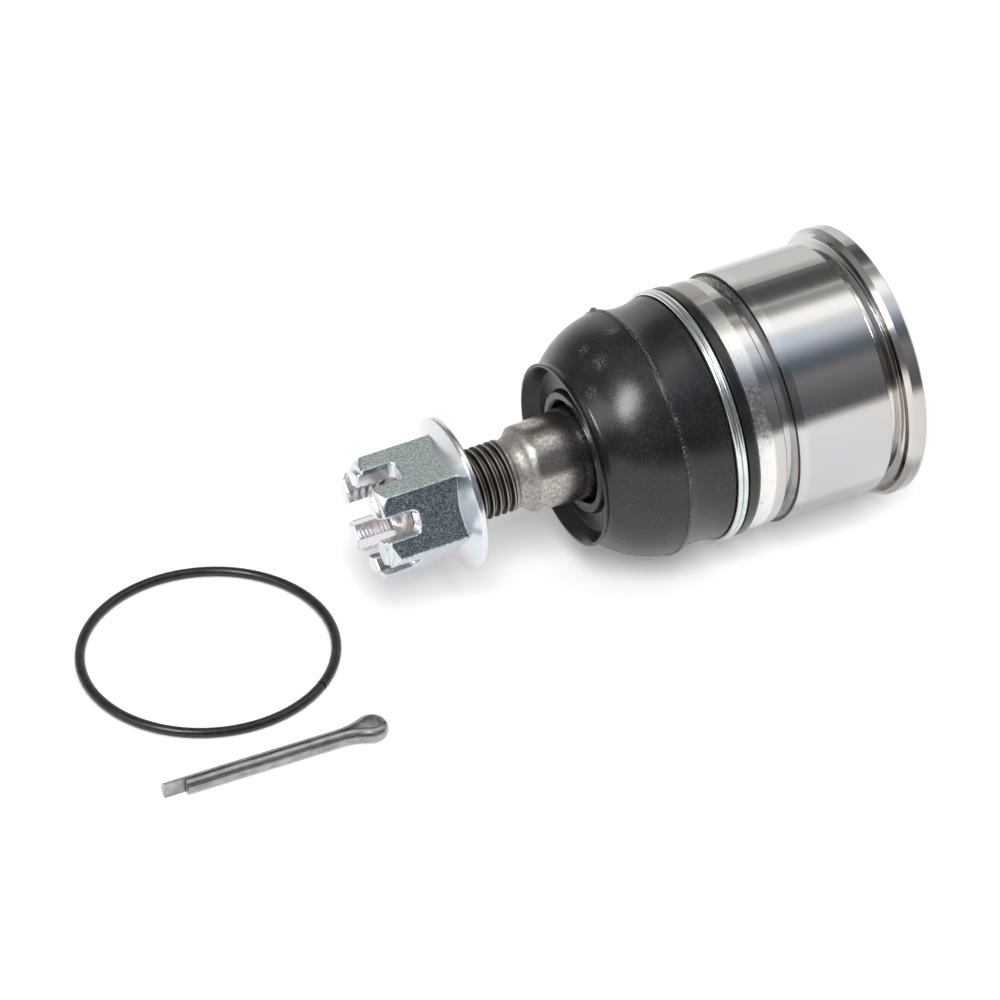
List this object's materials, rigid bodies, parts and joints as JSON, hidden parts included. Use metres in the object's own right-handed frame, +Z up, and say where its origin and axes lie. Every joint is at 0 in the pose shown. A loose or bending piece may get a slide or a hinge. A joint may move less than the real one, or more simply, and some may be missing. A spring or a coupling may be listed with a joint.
{
  "type": "suspension ball joint",
  "caption": "Press-in suspension ball joint: flanged steel housing, rubber dust boot with wire clip, tapered stud with castle nut, loose split pin and retaining ring.",
  "frame": {"origin": "centre of the whole part's footprint, on the surface it lies on", "axes": "+X from the nut towards the housing's flange, +Z up, the joint lying on its flange and boot ridge"},
  "size_m": [0.1619, 0.0626, 0.0538],
  "materials": {
    "turned_steel": "fine-turned bright steel",
    "plate_steel": "pressed steel",
    "bearing_plastic": "moulded acetal",
    "forged_steel": "ground steel, oiled",
    "boot_rubber": "moulded rubber, satin",
    "zinc_wire": "bright zinc on spring wire",
    "zinc_plate": "clear-passivated zinc",
    "plain_wire": "drawn soft steel",
    "black_wire": "black-oxide spring wire"
  },
  "bodies": {
    "housing_body": {"housing": "turned_steel", "cover_plate": "plate_steel", "preload_washer": "plate_steel", "rear_seat": "bearing_plastic", "boot_clip": "zinc_wire", "cotter_pin": "plain_wire", "retaining_ring": "black_wire"},
    "seat_body": {"front_seat": "bearing_plastic", "dust_boot": "boot_rubber"},
    "collar_body": {"boot_collar": "plate_steel"},
    "stud_body": {"ball_stud": "forged_steel"},
    "nut_body": {"castle_nut": "zinc_plate"}
  },
  "joints": [
    {"name": "swing_direction", "type": "hinge", "parent": "housing_body", "child": "seat_body", "pos_m": [0.04962, 0.00438, 0.02547], "axis": [-0.9987, 0, -0.0513], "continuous": true},
    {"name": "swing", "type": "hinge", "parent": "seat_body", "child": "collar_body", "pos_m": [0.04962, 0.00438, 0.02547], "axis": [-0.0513, 0, 0.9987], "range_deg": [-25, 25], "deforming": ["dust_boot"]},
    {"name": "stud_spin", "type": "hinge", "parent": "collar_body", "child": "stud_body", "pos_m": [0.04962, 0.00438, 0.02547], "axis": [-0.9987, 0, -0.0513], "continuous": true},
    {"name": "nut_travel", "type": "slide", "parent": "stud_body", "child": "nut_body", "axis": [-0.9987, 0, -0.0513], "range_m": [-0.009, 0.007]}
  ]
}
